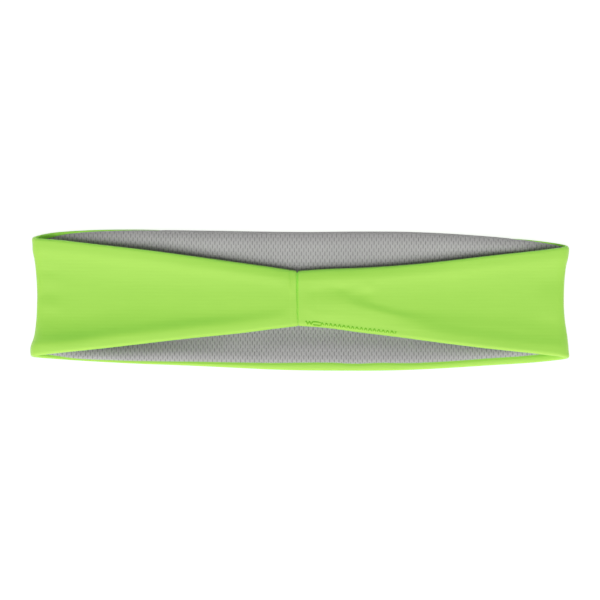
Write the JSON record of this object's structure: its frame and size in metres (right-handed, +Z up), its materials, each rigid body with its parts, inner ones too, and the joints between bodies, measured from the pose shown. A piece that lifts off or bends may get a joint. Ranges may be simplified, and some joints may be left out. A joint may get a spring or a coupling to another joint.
{
  "type": "sweat headband",
  "caption": "Two-layer knit sweat headband, wide at the forehead and narrow at the back seam, laid flat with its mesh lining showing.",
  "frame": {"origin": "middle of the footprint, on the surface that the band lies on", "axes": "+X along the flattened loop from fold to fold, +Y across the band towards its upper edge, +Z up, away from the table; the back seam is on top"},
  "size_m": [0.24, 0.0622, 0.0093],
  "materials": {
    "outer_knit": "fine lime jersey knit, soft and matte",
    "lining_mesh": "light grey eyelet mesh knit",
    "sewing_thread": "lime polyester sewing thread"
  },
  "bodies": {
    "root": {"outer_shell": "outer_knit", "mesh_lining": "lining_mesh", "upper_edge_needle_thread": "sewing_thread", "upper_edge_looper_thread": "sewing_thread", "lower_edge_needle_thread": "sewing_thread", "lower_edge_looper_thread": "sewing_thread", "back_seam_needle_thread": "sewing_thread", "back_seam_looper_thread": "sewing_thread", "closure_needle_thread": "sewing_thread", "closure_bobbin_thread": "sewing_thread"}
  },
  "joints": []
}
